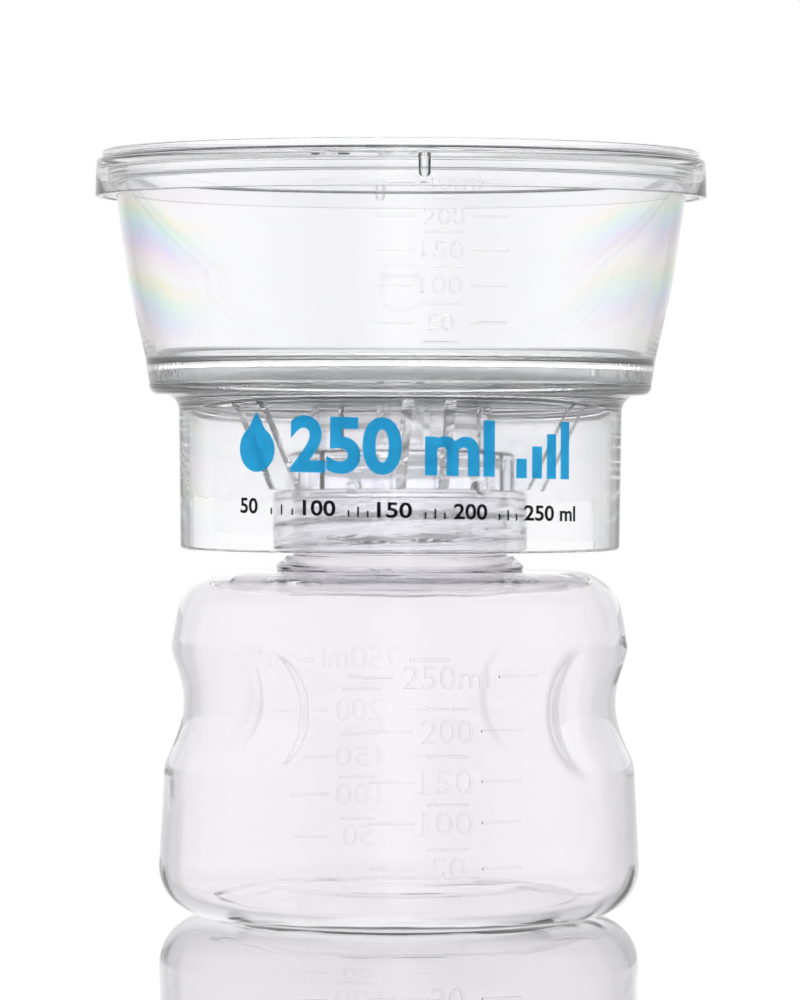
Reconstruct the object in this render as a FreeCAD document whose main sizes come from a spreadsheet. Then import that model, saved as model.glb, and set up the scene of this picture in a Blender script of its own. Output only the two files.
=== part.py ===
# Vacuum filtration unit, 250 ml: a clear snap-on lid, a graduated reservoir, a membrane on a
# grooved bed, a one-piece filter base with its skirt, threaded collar and hose nozzle, a neck
# gasket, a clear label and a blow-moulded receiver bottle with finger grips.
# Frame: +Z up, the bottle stands on Z = 0, its axis is the Z axis and the label faces -Y.
import FreeCAD, Part
import math
import operator
import os

import Sketcher

os.makedirs("parts", exist_ok=True)
doc = FreeCAD.newDocument("VacuumFiltrationUnit")

# ---------------------------------------------------------------- driving dimensions
# Millimetres and degrees. Heights are above the surface that the bottle stands on.
driving = {
    # receiver bottle
    "bottleWall": 1.7,
    "bottleRadius": 46.1,
    "heelRadius": 9.5,
    "footInset": 12.1,
    "pushUp": 3.0,
    "bulgeInset": 2.55,
    "bulgeDrop": 15.3,
    "shoulderInset": 2.65,
    "shoulderHeight": 65.5,
    "shoulderRound": 9.5,
    "neckRadius": 20.3,
    "neckRingStep": 3.25,
    "neckHeight": 20.7,
    "gripRadius": 14.5,
    "gripDepth": 3.0,
    "gripDrop": 25.2,
    "gripSpan": 90.0,
    "gripRound": 3.0,
    # running gap between pieces that turn or lift, and the gasket
    "gap": 0.3,
    "gasketThick": 1.6,
    # filter base
    "plugWall": 1.8,
    "plugDepth": 5.0,
    "collarWall": 1.5,
    "collarDepth": 4.3,
    "threadDepth": 1.7,
    "skirtLift": 3.9,
    "flangeRise": 12.5,
    "flangeReach": 5.65,
    "seamRise": 2.3,
    "bedRise": 3.0,
    "plateThick": 3.1,
    "skirtWall": 1.8,
    "skirtDraft": 0.4,
    "cutRise": 11.8,
    "cutSpan": 162.0,
    "cutRound": 9.0,
    "ribThick": 2.0,
    "ribSpacing": 7.9,
    "ribSpread": 60.0,
    "ribClear": 3.1,
    "knobRadius": 1.5,
    "nozzleRoot": 3.6,
    "nozzleRadius": 3.2,
    "nozzleBore": 1.7,
    "nozzleRise": 6.1,
    "elbowInset": 0.7,
    "rootLength": 6.4,
    "shankLength": 6.5,
    "barbLength": 3.0,
    "barbStep": 0.5,
    "drainRadius": 3.0,
    "spoutRise": 4.8,
    "grooveDepth": 1.6,
    "grooveWidth": 2.4,
    "grooveRim": 3.25,
    # reservoir and membrane
    "reservoirWall": 2.0,
    "reservoirRadius": 47.75,
    "reservoirHeight": 36.0,
    "waistStep": 0.65,
    "waistRise": 4.5,
    "sideFlare": 3.2,
    "sideRound": 80.0,
    "rimFlare": 2.8,
    "rimLip": 1.5,
    "rimThick": 2.2,
    "membraneThick": 0.4,
    "ledge": 2.0,
    # lid
    "lidGap": 0.5,
    "lidWall": 1.4,
    "lidSkirt": 5.4,
    "lidShoulderRise": 1.8,
    "lidRing": 1.6,
    "gateRadius": 4.6,
    "gateRise": 1.7,
    "ventRadius": 1.15,
    "lidTurn": 4.2,
    # label
    "labelThick": 0.25,
    "labelGlue": 0.03,
    "labelHeight": 22.5,
    "labelLift": 2.8,
    "labelTurn": 3.9,
}

sheet = doc.addObject("Spreadsheet::Sheet", "Dims")
for row, (alias, number) in enumerate(driving.items(), start=1):
    sheet.set("A%d" % row, alias)
    sheet.set("B%d" % row, str(number))
    sheet.setAlias("B%d" % row, alias)
doc.recompute()


class Size:
    """A number together with the spreadsheet formula that gives it."""

    signs = {"+": operator.add, "-": operator.sub, "*": operator.mul, "/": operator.truediv}

    def __init__(self, value, formula):
        self.value = value
        self.formula = formula

    @staticmethod
    def of(thing):
        return thing if isinstance(thing, Size) else Size(float(thing), repr(float(thing)))

    @staticmethod
    def join(left, sign, right):
        left, right = Size.of(left), Size.of(right)
        value = Size.signs[sign](left.value, right.value)
        return Size(value, "(%s %s %s)" % (left.formula, sign, right.formula))

    def __add__(self, other):
        return Size.join(self, "+", other)

    def __sub__(self, other):
        return Size.join(self, "-", other)

    def __rsub__(self, other):
        return Size.join(other, "-", self)

    def __mul__(self, other):
        return Size.join(self, "*", other)

    def __truediv__(self, other):
        return Size.join(self, "/", other)


class Dims:
    """Every driving dimension as a Size, by its alias."""


for alias, number in driving.items():
    setattr(Dims, alias, Size(number, "Dims." + alias))

# Radii and heights that follow from the driving ones, so that pieces that fit stay fitted.
footRadius = Dims.bottleRadius - Dims.footInset
bulgeRadius = Dims.bottleRadius - Dims.bulgeInset
shoulderRadius = bulgeRadius - Dims.shoulderInset
bulgeHeight = Dims.shoulderHeight - Dims.bulgeDrop
gripHeight = Dims.shoulderHeight - Dims.gripDrop
lipHeight = Dims.shoulderHeight + Dims.neckHeight
neckRingRadius = Dims.neckRadius + Dims.neckRingStep
plugRadius = Dims.neckRadius - Dims.bottleWall - Dims.gap * 2
plugBottom = lipHeight - Dims.plugDepth
collarStep = lipHeight - Dims.collarDepth
skirtBottom = Dims.shoulderHeight + Dims.skirtLift
cutHeight = skirtBottom + Dims.cutRise
flangeBottom = lipHeight + Dims.flangeRise
seamHeight = flangeBottom + Dims.seamRise
bedHeight = seamHeight + Dims.bedRise
plateBottom = bedHeight - Dims.plateThick
skirtRadius = Dims.reservoirRadius - Dims.flangeReach
waistRadius = Dims.reservoirRadius + Dims.waistStep
waistHeight = seamHeight + Dims.waistRise
sideRadius = waistRadius + Dims.sideFlare
sideHeight = waistHeight + Dims.reservoirHeight * 0.4
rimRadius = sideRadius + Dims.rimFlare
rimFlange = rimRadius + Dims.rimLip
rimHeight = waistHeight + Dims.reservoirHeight
lidInside = rimFlange + Dims.lidGap
lidRadius = lidInside + Dims.lidWall
lidBottom = rimHeight - Dims.lidSkirt
lidPanel = rimHeight + Dims.lidWall / 2
lidShoulder = rimHeight + Dims.lidShoulderRise
lidTop = lidShoulder + Dims.lidRing
labelBottom = skirtBottom + Dims.labelLift


# ---------------------------------------------------------------- drawing helpers
def newBody(name):
    body = doc.addObject("PartDesign::Body", name)
    body.Label = name
    return body


def planeOf(body, role):
    return next(part for part in body.Origin.OriginFeatures if part.Role == role)


def newSketch(body, role, name, offset=None):
    """A sketch on one of the body's own origin planes; offset lifts it along the normal."""
    sketch = body.newObject("Sketcher::SketchObject", name)
    sketch.AttachmentSupport = (planeOf(body, role), [""])
    sketch.MapMode = "FlatFace"
    if offset is not None:
        sketch.setExpression("AttachmentOffset.Base.z", offset.formula)
    return sketch


def constrain(sketch, kind, *where):
    """Adds a constraint whose last argument is a Size, and binds it to the spreadsheet."""
    size = where[-1]
    index = sketch.addConstraint(Sketcher.Constraint(kind, *where[:-1], size.value))
    sketch.setExpression("Constraints[%d]" % index, size.formula)


def placePoint(sketch, geometry, end, across, up):
    """Holds a point at its distances from the sketch's two axes."""
    for kind, axis, distance in (("DistanceX", -2, across), ("DistanceY", -1, up)):
        if isinstance(distance, Size):
            constrain(sketch, kind, -1, 1, geometry, end, distance)
        else:
            sketch.addConstraint(Sketcher.Constraint("PointOnObject", geometry, end, axis))


def drawPath(sketch, corners, closed=True):
    """Straight runs through corners (across, up, rounding), each rounding a tangent arc.

    A distance of 0 lies on that axis and a rounding of None stays sharp.
    """
    vector = FreeCAD.Vector
    points = [vector(Size.of(x).value, Size.of(y).value, 0) for x, y, _ in corners]
    count = len(corners)
    entry, leave, arcs = list(points), list(points), [None] * count
    for i, (_, _, rounding) in enumerate(corners):
        if rounding is None:
            continue
        back = (points[i - 1] - points[i]).normalize()
        ahead = (points[(i + 1) % count] - points[i]).normalize()
        half = back.getAngle(ahead) / 2
        reach = rounding.value / math.tan(half)
        middle = points[i] + (back + ahead).normalize() * (rounding.value / math.sin(half))
        entry[i] = points[i] + back * reach
        leave[i] = points[i] + ahead * reach
        turnsLeft = back.cross(ahead).z < 0
        ends = (entry[i], leave[i]) if turnsLeft else (leave[i], entry[i])
        sweep = [math.atan2(point.y - middle.y, point.x - middle.x) for point in ends]
        if sweep[1] < sweep[0]:
            sweep[1] += 2 * math.pi
        circle = Part.Circle(middle, vector(0, 0, 1), rounding.value)
        arcs[i] = (Part.ArcOfCircle(circle, *sweep), turnsLeft)
    runs = count if closed else count - 1
    lines = [
        sketch.addGeometry(Part.LineSegment(leave[i], entry[(i + 1) % count]), False)
        for i in range(runs)
    ]
    for i, (across, up, rounding) in enumerate(corners):
        if not closed and i == count - 1:
            placePoint(sketch, lines[-1], 2, across, up)
            continue
        before, after = lines[i - 1], lines[i]
        if rounding is None:
            if closed or i > 0:
                sketch.addConstraint(Sketcher.Constraint("Coincident", before, 2, after, 1))
            placePoint(sketch, after, 1, across, up)
            continue
        arc, turnsLeft = arcs[i]
        curve = sketch.addGeometry(arc, False)
        enters, leaves = (1, 2) if turnsLeft else (2, 1)
        sketch.addConstraint(Sketcher.Constraint("Tangent", before, 2, curve, enters))
        sketch.addConstraint(Sketcher.Constraint("Tangent", curve, leaves, after, 1))
        constrain(sketch, "Radius", curve, rounding)
        corner = sketch.addGeometry(Part.Point(points[i]), True)
        sketch.addConstraint(Sketcher.Constraint("PointOnObject", corner, 1, before))
        sketch.addConstraint(Sketcher.Constraint("PointOnObject", corner, 1, after))
        placePoint(sketch, corner, 1, across, up)


def drawBox(sketch, left, right, bottom, top):
    corners = ((left, bottom), (right, bottom), (right, top), (left, top))
    drawPath(sketch, [(across, up, None) for across, up in corners])


def drawCircle(sketch, across, up, radius):
    centre = FreeCAD.Vector(Size.of(across).value, Size.of(up).value, 0)
    circle = sketch.addGeometry(Part.Circle(centre, FreeCAD.Vector(0, 0, 1), radius.value), False)
    placePoint(sketch, circle, 3, across, up)
    constrain(sketch, "Radius", circle, radius)


def turnProfile(body, name, sketch, kind="Revolution", angle=None):
    """Revolves a sketch about the body's Z axis: all round, or through an angle it bisects."""
    feature = body.newObject("PartDesign::" + kind, name)
    feature.Profile = (sketch, [""])
    feature.ReferenceAxis = (sketch, ["V_Axis"])
    feature.Angle = 360
    if angle is not None:
        feature.Midplane = True
        feature.setExpression("Angle", angle.formula)
    return feature


def patternAbout(body, name, originals, occurrences, angle, reverse=False):
    pattern = body.newObject("PartDesign::PolarPattern", name)
    pattern.Originals = originals
    pattern.Axis = (planeOf(body, "Z_Axis"), [""])
    pattern.Occurrences = occurrences
    pattern.setExpression("Angle", Size.of(angle).formula)
    pattern.Reversed = reverse
    body.Tip = pattern
    return pattern


def edgesOf(feature, wanted):
    """The names of the feature's edges that the wanted test picks."""
    doc.recompute()
    edges = enumerate(feature.Shape.Edges, start=1)
    return ["Edge%d" % number for number, edge in edges if wanted(edge)]


def roundEdges(body, name, feature, wanted, radius):
    fillet = body.newObject("PartDesign::Fillet", name)
    fillet.Base = (feature, edgesOf(feature, wanted))
    fillet.setExpression("Radius", radius.formula)
    return fillet


def setPlace(thing, prefix, across, along, up):
    """Binds a position: each of the three is a Size or a formula."""
    for axis, distance in (("x", across), ("y", along), ("z", up)):
        formula = distance.formula if isinstance(distance, Size) else distance
        thing.setExpression("%s.Base.%s" % (prefix, axis), formula)


def addShape(body, kind, name, across, along, up, turn=None, **sizes):
    """A PartDesign primitive such as AdditiveSphere, placed from the body's origin."""
    shape = body.newObject("PartDesign::" + kind, name)
    shape.AttachmentSupport = (planeOf(body, "XY_Plane"), [""])
    shape.MapMode = "FlatFace"
    if turn is not None:
        shape.AttachmentOffset = FreeCAD.Placement(FreeCAD.Vector(), turn)
    setPlace(shape, "AttachmentOffset", across, along, up)
    for size, value in sizes.items():
        shape.setExpression(size, Size.of(value).formula)
    return shape


def turnBack(thing, angle):
    """Turns a piece clockwise, seen from above, about the object's axis."""
    axis = FreeCAD.Vector(0, 0, -1)
    thing.Placement = FreeCAD.Placement(FreeCAD.Vector(), FreeCAD.Rotation(axis, angle.value))
    thing.setExpression("Placement.Rotation.Angle", angle.formula)


up = FreeCAD.Vector(0, 0, 1)
nodes = []

# ---------------------------------------------------------------- receiver bottle
# Blow-moulded in one piece: the closed outside is pressed in at the two grips, its rims are
# rounded, it is hollowed from the lip and then given the solid ring below the thread.
form = newBody("bottle_form")
outside = newSketch(form, "YZ_Plane", "bottle_outside")
drawPath(outside, [
    (0, Dims.pushUp, None),
    (footRadius - 10, Dims.pushUp, Size.of(12)),
    (footRadius, 0, Size.of(2.5)),
    (Dims.bottleRadius, 0, Dims.heelRadius),
    (bulgeRadius, bulgeHeight, Size.of(14)),
    (shoulderRadius, Dims.shoulderHeight, Dims.shoulderRound),
    (Dims.neckRadius, Dims.shoulderHeight, Size.of(2)),
    (Dims.neckRadius, lipHeight, None),
    (0, lipHeight, None),
])
turnProfile(form, "bottle_blank", outside)

wallTaper = (Dims.bottleRadius - bulgeRadius) / bulgeHeight
wallAtGrip = Dims.bottleRadius - wallTaper * gripHeight
gripCentre = wallAtGrip - Dims.gripDepth + Dims.gripRadius
halfSpan = Dims.gripSpan / 2
gripTools = []
for word, facing in (("right", 1), ("left", -1)):
    bar = doc.addObject("Part::Torus", "grip_bar_" + word)
    bar.setExpression("Radius1", gripCentre.formula)
    bar.setExpression("Radius2", Dims.gripRadius.formula)
    bar.setExpression("Angle3", Dims.gripSpan.formula)
    start = Size.of(0) - halfSpan if facing > 0 else 180 - halfSpan
    axis = up * -1 if facing > 0 else up
    swing = halfSpan if facing > 0 else start
    bar.Placement = FreeCAD.Placement(FreeCAD.Vector(), FreeCAD.Rotation(axis, swing.value))
    bar.setExpression("Placement.Rotation.Angle", swing.formula)
    bar.setExpression("Placement.Base.z", gripHeight.formula)
    pieces = [bar]
    for end in (1, -1):
        ball = doc.addObject("Part::Sphere", "grip_end_" + word)
        ball.setExpression("Radius", Dims.gripRadius.formula)
        across = "%d * %s * cos(%s)" % (facing, gripCentre.formula, halfSpan.formula)
        along = "%d * %s * sin(%s)" % (end, gripCentre.formula, halfSpan.formula)
        setPlace(ball, "Placement", across, along, gripHeight)
        pieces.append(ball)
    tool = doc.addObject("Part::MultiFuse", "grip_tool_" + word)
    tool.Shapes = pieces
    gripTools.append(tool)
bothGrips = doc.addObject("Part::MultiFuse", "grip_tools")
bothGrips.Shapes = gripTools
pressed = doc.addObject("Part::Cut", "bottle_pressed")
pressed.Base = form
pressed.Tool = bothGrips
doc.recompute()

bottle = newBody("receiver_bottle")
bottle.BaseFeature = pressed
doc.recompute()


def onGripRim(edge):
    """The long free-form rims where the grips meet the wall; their ends follow by tangency."""
    freeForm = edge.Curve.TypeId == "Part::GeomBSplineCurve"
    return freeForm and edge.Length > Dims.gripRadius.value * 2


softGrips = roundEdges(bottle, "grip_rims", bottle.Tip, onGripRim, Dims.gripRound)
doc.recompute()
faces = softGrips.Shape.Faces
lip = max(range(len(faces)), key=lambda number: faces[number].CenterOfMass.z)
wall = bottle.newObject("PartDesign::Thickness", "bottle_wall")
wall.Base = (softGrips, ["Face%d" % (lip + 1)])
wall.setExpression("Value", Dims.bottleWall.formula)
wall.Reversed = True
wall.Mode = "Skin"
ring = newSketch(bottle, "XZ_Plane", "neck_ring_section")
ringInside = Dims.neckRadius - Dims.bottleWall / 2
drawPath(ring, [
    (ringInside, Dims.shoulderHeight - 0.5, None),
    (neckRingRadius - 0.3, Dims.shoulderHeight - 0.5, None),
    (neckRingRadius, Dims.shoulderHeight + 1, Size.of(0.4)),
    (neckRingRadius - 2, Dims.shoulderHeight + 2.8, Size.of(0.3)),
    (ringInside, Dims.shoulderHeight + 2.8, None),
])
turnProfile(bottle, "neck_ring", ring)
nodes.append(bottle)

# ---------------------------------------------------------------- neck gasket
roof = lipHeight + Dims.gasketThick
channelOutside = Dims.neckRadius + Dims.gap * 2
gasket = newBody("neck_gasket")
section = newSketch(gasket, "XZ_Plane", "gasket_section")
drawBox(section, plugRadius + Dims.gap, channelOutside - Dims.gap, lipHeight, roof)
turnProfile(gasket, "gasket_ring", section)
nodes.append(gasket)

# ---------------------------------------------------------------- filter base
# One moulding: flange and grooved membrane bed, skirt, plug ring and threaded collar with the
# channel for the bottle's lip between them, ribs, knobs and the hose nozzle.
base = newBody("filter_base")
plugInside = plugRadius - Dims.plugWall
shelf = roof + Dims.collarWall
threadBore = Dims.neckRadius + Dims.threadDepth + Dims.gap * 2
upperCollar = channelOutside + Dims.collarWall
lowerCollar = threadBore + Dims.collarWall
reservoirSeat = Dims.reservoirRadius - Dims.reservoirWall - Dims.gap
bedRadius = reservoirSeat - Dims.gap
bedFloor = bedHeight - Dims.grooveDepth
skirtInside = skirtRadius - Dims.skirtWall
spoutBottom = lipHeight + Dims.spoutRise
section = newSketch(base, "XZ_Plane", "base_section")
drawPath(section, [
    (Dims.reservoirRadius, seamHeight, None),
    (Dims.reservoirRadius - 0.15, flangeBottom, Size.of(1.9)),
    (skirtRadius, flangeBottom, Size.of(3)),
    (skirtRadius - Dims.skirtDraft, skirtBottom, Size.of(0.8)),
    (skirtInside - Dims.skirtDraft, skirtBottom, Size.of(0.5)),
    (skirtInside, plateBottom, Size.of(1.5)),
    (plugRadius, plateBottom, Size.of(1)),
    (plugRadius, shelf, Size.of(0.8)),
    (upperCollar, shelf, Size.of(1)),
    (upperCollar, collarStep, None),
    (lowerCollar, collarStep, Size.of(0.6)),
    (lowerCollar, skirtBottom, Size.of(0.5)),
    (threadBore, skirtBottom, None),
    (threadBore, collarStep - Dims.collarWall, None),
    (channelOutside, collarStep - Dims.collarWall, None),
    (channelOutside, roof, None),
    (plugRadius, roof, None),
    (plugRadius, plugBottom, Size.of(0.8)),
    (plugInside, plugBottom, Size.of(0.8)),
    (plugInside, plateBottom, Size.of(1.5)),
    (Dims.drainRadius + 1.5, plateBottom, Size.of(1)),
    (Dims.drainRadius + 1.5, spoutBottom, None),
    (Dims.drainRadius, spoutBottom, None),
    (Dims.drainRadius, bedFloor, None),
    (Dims.drainRadius + 3, bedFloor, None),
    (Dims.drainRadius + 3, bedHeight, None),
    (bedRadius, bedHeight, None),
    (bedRadius, seamHeight, None),
])
turnProfile(base, "base_form", section)

opening = newSketch(base, "YZ_Plane", "skirt_cut_section")
drawBox(opening, skirtInside - 3, skirtRadius + 3, skirtBottom - 2, cutHeight)
cut = turnProfile(base, "skirt_cut", opening, "Groove", Dims.cutSpan)


def onCutCorner(edge):
    """The two short edges across the skirt's wall where the cut's top meets its ends."""
    box = edge.BoundBox
    across = edge.Length < Dims.skirtWall.value * 1.5 and box.ZLength < 1e-3
    return across and abs(box.ZMin - cutHeight.value) < 1e-3


roundEdges(base, "skirt_cut_corners", cut, onCutCorner, Dims.cutRound)

# Three pairs of parallel ribs: the first pair stands to the left of the front one.
ribFoot = lowerCollar + Dims.ribClear
ribReach = skirtInside - Dims.ribClear
ribs = []
for word, side in (("left", -1), ("right", 1)):
    outline = newSketch(base, "YZ_Plane", "rib_outline_" + word)
    swing = Size.of(0) - Dims.ribSpread
    outline.AttachmentOffset = FreeCAD.Placement(
        FreeCAD.Vector(), FreeCAD.Rotation(FreeCAD.Vector(0, 1, 0), swing.value)
    )
    offset = Dims.ribSpacing / 2 * side
    outline.setExpression("AttachmentOffset.Rotation.Angle", swing.formula)
    for axis, share in (("x", "sin"), ("z", "cos")):
        formula = "%s * %s(%s)" % (offset.formula, share, swing.formula)
        outline.setExpression("AttachmentOffset.Base." + axis, formula)
    buried = plateBottom + 0.5
    inPlug = Dims.plugWall / 2 - plugRadius
    inCollar = Dims.collarWall / 2 - upperCollar
    drawPath(outline, [
        (inPlug, buried, None),
        (inPlug, shelf - Dims.collarWall / 2, None),
        (inCollar, shelf - Dims.collarWall / 2, None),
        (inCollar, collarStep, None),
        (ribFoot * -1, collarStep, Size.of(0.6)),
        (ribReach * -1, buried, None),
    ])
    rib = base.newObject("PartDesign::Pad", "rib_" + word)
    rib.Profile = (outline, [""])
    rib.SideType = "Symmetric"
    rib.setExpression("Length", Dims.ribThick.formula)
    ribs.append(rib)
patternAbout(base, "rib_pairs", ribs, 3, Dims.ribSpread * 2)

knobAngle = Dims.ribSpread / 2
knobReach = (upperCollar + lowerCollar) / 2
for word, side in (("left", -1), ("right", 1)):
    across = "%d * %s * sin(%s)" % (side, knobReach.formula, knobAngle.formula)
    along = "-1 * %s * cos(%s)" % (knobReach.formula, knobAngle.formula)
    addShape(base, "AdditiveSphere", "knob_" + word, across, along,
             collarStep + 0.3, Radius=Dims.knobRadius)

# The hose nozzle leaves the plug ring level, bends down by 45 degrees, steps in to a plain shank
# and ends in barbs whose crests are as wide as the shank.
slope = math.sqrt(0.5)
nozzleHeight = lipHeight + Dims.nozzleRise
nozzleElbow = upperCollar - Dims.elbowInset
shankStart = Dims.rootLength
barbStart = shankStart + Dims.shankLength
nozzleEnd = barbStart + Dims.barbLength * 3


def alongNozzle(reach):
    """The distances along Y and up of a point on the sloping axis, measured from the elbow."""
    return nozzleElbow + reach * slope, nozzleHeight - reach * slope


for word, kind, radius, start, end in (
    ("root", "AdditivePipe", Dims.nozzleRoot, plugInside + Dims.plugWall / 2, shankStart),
    ("bore", "SubtractivePipe", Dims.nozzleBore, plugInside - 1.5, nozzleEnd + 1),
):
    spine = newSketch(base, "YZ_Plane", "nozzle_path_" + word)
    drawPath(spine, [
        (start, nozzleHeight, None),
        (nozzleElbow, nozzleHeight, Size.of(4.5)),
        (*alongNozzle(end), None),
    ], closed=False)
    circle = newSketch(base, "XZ_Plane", "nozzle_section_" + word, start * -1)
    drawCircle(circle, 0, nozzleHeight, radius)
    pipe = base.newObject("PartDesign::" + kind, "nozzle_" + word)
    pipe.Profile = (circle, [""])
    pipe.Spine = (spine, [""])
    if word == "bore":
        continue
    towardsTip = FreeCAD.Rotation(FreeCAD.Vector(1, 0, 0), -135)
    addShape(base, "AdditiveCylinder", "nozzle_shank", Size.of(0),
             *alongNozzle(shankStart - 1), towardsTip,
             Radius=Dims.nozzleRadius, Height=Dims.shankLength + 1)
    for number in range(3):
        addShape(base, "AdditiveCone", "nozzle_barb_%d" % (number + 1), Size.of(0),
                 *alongNozzle(barbStart + Dims.barbLength * number), towardsTip,
                 Radius1=Dims.nozzleRadius, Radius2=Dims.nozzleRadius - Dims.barbStep,
                 Height=Dims.barbLength)

# Ring and spoke grooves lead what passes the membrane to the drain hole.
rings = newSketch(base, "XZ_Plane", "ring_groove_sections")
firstGroove = Dims.drainRadius + 5.5
groovePitch = (bedRadius - Dims.grooveRim - Dims.grooveWidth - firstGroove) / 5
for number in range(6):
    inside = firstGroove + groovePitch * number
    drawBox(rings, inside, inside + Dims.grooveWidth, bedFloor, bedHeight + 1)
turnProfile(base, "ring_grooves", rings, "Groove")

spoke = newSketch(base, "XY_Plane", "spoke_groove_outline", bedFloor)
halfGroove = Dims.grooveWidth / 2
drawBox(spoke, Dims.drainRadius + 2, bedRadius - 3, Size.of(0) - halfGroove, halfGroove)
channel = base.newObject("PartDesign::Pocket", "spoke_groove")
channel.Profile = (spoke, [""])
channel.Reversed = True
channel.setExpression("Length", (Dims.grooveDepth + 1).formula)
patternAbout(base, "spoke_grooves", [channel], 8, 360)
nodes.append(base)

# ---------------------------------------------------------------- membrane
membrane = doc.addObject("Part::Cylinder", "membrane")
membrane.setExpression("Radius", bedRadius.formula)
membrane.setExpression("Height", Dims.membraneThick.formula)
membrane.setExpression("Placement.Base.z", bedHeight.formula)
nodes.append(membrane)

# ---------------------------------------------------------------- reservoir
reservoir = newBody("reservoir")
clamp = bedHeight + Dims.membraneThick
rimUnder = rimHeight - Dims.rimThick
section = newSketch(reservoir, "XZ_Plane", "reservoir_section")
drawPath(section, [
    (Dims.reservoirRadius, seamHeight, None),
    (waistRadius, waistHeight, Size.of(2)),
    (sideRadius, sideHeight, Dims.sideRound),
    (rimRadius, rimUnder, Size.of(0.6)),
    (rimFlange, rimUnder, Size.of(0.5)),
    (rimFlange, rimHeight, Size.of(0.6)),
    (rimRadius - Dims.reservoirWall + 0.4, rimHeight, Size.of(0.5)),
    (sideRadius - Dims.reservoirWall, sideHeight, Dims.sideRound),
    (waistRadius - Dims.reservoirWall, clamp + 1.2, Size.of(0.8)),
    (reservoirSeat - Dims.ledge, clamp + 0.8, None),
    (reservoirSeat - Dims.ledge, clamp, None),
    (reservoirSeat, clamp, None),
    (reservoirSeat, seamHeight, None),
])
turnProfile(reservoir, "reservoir_form", section)
nodes.append(reservoir)

# ---------------------------------------------------------------- lid
lid = newBody("lid")
under = lidPanel - Dims.lidWall
panelRadius = rimRadius - Dims.reservoirWall - 1
section = newSketch(lid, "XZ_Plane", "lid_section")
drawPath(section, [
    (0, under + Dims.gateRise, None),
    (Dims.gateRadius - 2.4, under + Dims.gateRise - 0.1, Size.of(2.5)),
    (Dims.gateRadius, under, Size.of(1.2)),
    (panelRadius, under, Size.of(0.3)),
    (panelRadius, rimHeight, Size.of(0.3)),
    (lidInside, rimHeight, Size.of(0.6)),
    (lidInside + 0.2, lidBottom, Size.of(0.4)),
    (lidRadius + 0.2, lidBottom, Size.of(0.4)),
    (lidRadius, lidShoulder, Size.of(0.7)),
    (lidRadius - 1.1, lidShoulder, Size.of(0.3)),
    (lidRadius - 1.1, lidTop, Size.of(0.5)),
    (lidRadius - 2.9, lidTop, Size.of(0.5)),
    (lidRadius - 2.9, lidShoulder - 0.2, Size.of(0.5)),
    (panelRadius + 1.4, lidShoulder - 0.2, Size.of(0.5)),
    (panelRadius + 0.8, lidPanel, Size.of(0.4)),
    (Dims.gateRadius + 0.4, lidPanel, Size.of(1.2)),
    (Dims.gateRadius - 2.1, lidPanel + Dims.gateRise - 0.1, Size.of(2.5)),
    (0, lidPanel + Dims.gateRise, None),
])
turnProfile(lid, "lid_form", section)
ventAxis = lidInside - 0.35
vents = []
for word, side in (("front", -1), ("rear", 1)):
    along = ventAxis * side
    middle = lidBottom + Dims.lidWall + Dims.ventRadius
    top = rimHeight - middle
    addShape(lid, "SubtractiveCylinder", "vent_" + word, Size.of(0), along, middle,
             Radius=Dims.ventRadius, Height=top)
    addShape(lid, "SubtractiveSphere", "vent_end_" + word, Size.of(0), along, middle,
             Radius=Dims.ventRadius)
turnBack(lid, Dims.lidTurn)
nodes.append(lid)

# ---------------------------------------------------------------- label
# A thin clear film on the front of the skirt, its corners rounded and its edges sloping a
# little down to the right.
label = newBody("label")
half = skirtRadius * 0.87
drop = half * 0.021
low = labelBottom - 3
high = labelBottom + Dims.labelHeight + 3


def skirtAt(height):
    """How far the film's inner face stands from the axis, just off the sloping skirt."""
    share = (flangeBottom - height) / (flangeBottom - skirtBottom)
    return skirtRadius - Dims.skirtDraft * share + Dims.labelGlue


film = newSketch(label, "YZ_Plane", "film_section")
drawPath(film, [
    (skirtAt(low) * -1, low, None),
    (skirtAt(low) * -1 - Dims.labelThick, low, None),
    (skirtAt(high) * -1 - Dims.labelThick, high, None),
    (skirtAt(high) * -1, high, None),
])
turnProfile(label, "film_band", film, angle=Size.of(140))
outline = newSketch(label, "XZ_Plane", "label_outline")
lowEdge = labelBottom
highEdge = labelBottom + Dims.labelHeight
drawPath(outline, [
    (half * -1, lowEdge + drop, Size.of(1.9)),
    (half, lowEdge - drop, Size.of(1.9)),
    (half, highEdge - drop, Size.of(1.9)),
    (half * -1, highEdge + drop, Size.of(1.9)),
])
drawBox(outline, half * -1 - 20, half + 20, low - 5, high + 5)
trim = label.newObject("PartDesign::Pocket", "label_trim")
trim.Profile = (outline, [""])
trim.Type = "ThroughAll"
trim.SideType = "Symmetric"
turnBack(label, Dims.labelTurn)
nodes.append(label)

# ---------------------------------------------------------------- check and export
doc.recompute()
for thing in doc.Objects:
    broken = "Invalid" in thing.State or "Error" in thing.State
    if broken:
        print("broken:", thing.Label, thing.State)
for node in nodes:
    shape = node.Shape
    if shape.isNull() or not shape.isValid():
        print("no valid solid:", node.Label)
        continue
    shape.exportStep("parts/%s.step" % node.Label)
    size = shape.BoundBox
    print("%-16s solids %d  volume %9.1f  x %.1f..%.1f  y %.1f..%.1f  z %.1f..%.1f" % (
        node.Label, len(shape.Solids), shape.Volume, size.XMin, size.XMax,
        size.YMin, size.YMax, size.ZMin, size.ZMax))
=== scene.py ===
import math

import bmesh
import bpy
from mathutils import Matrix, Vector


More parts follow.
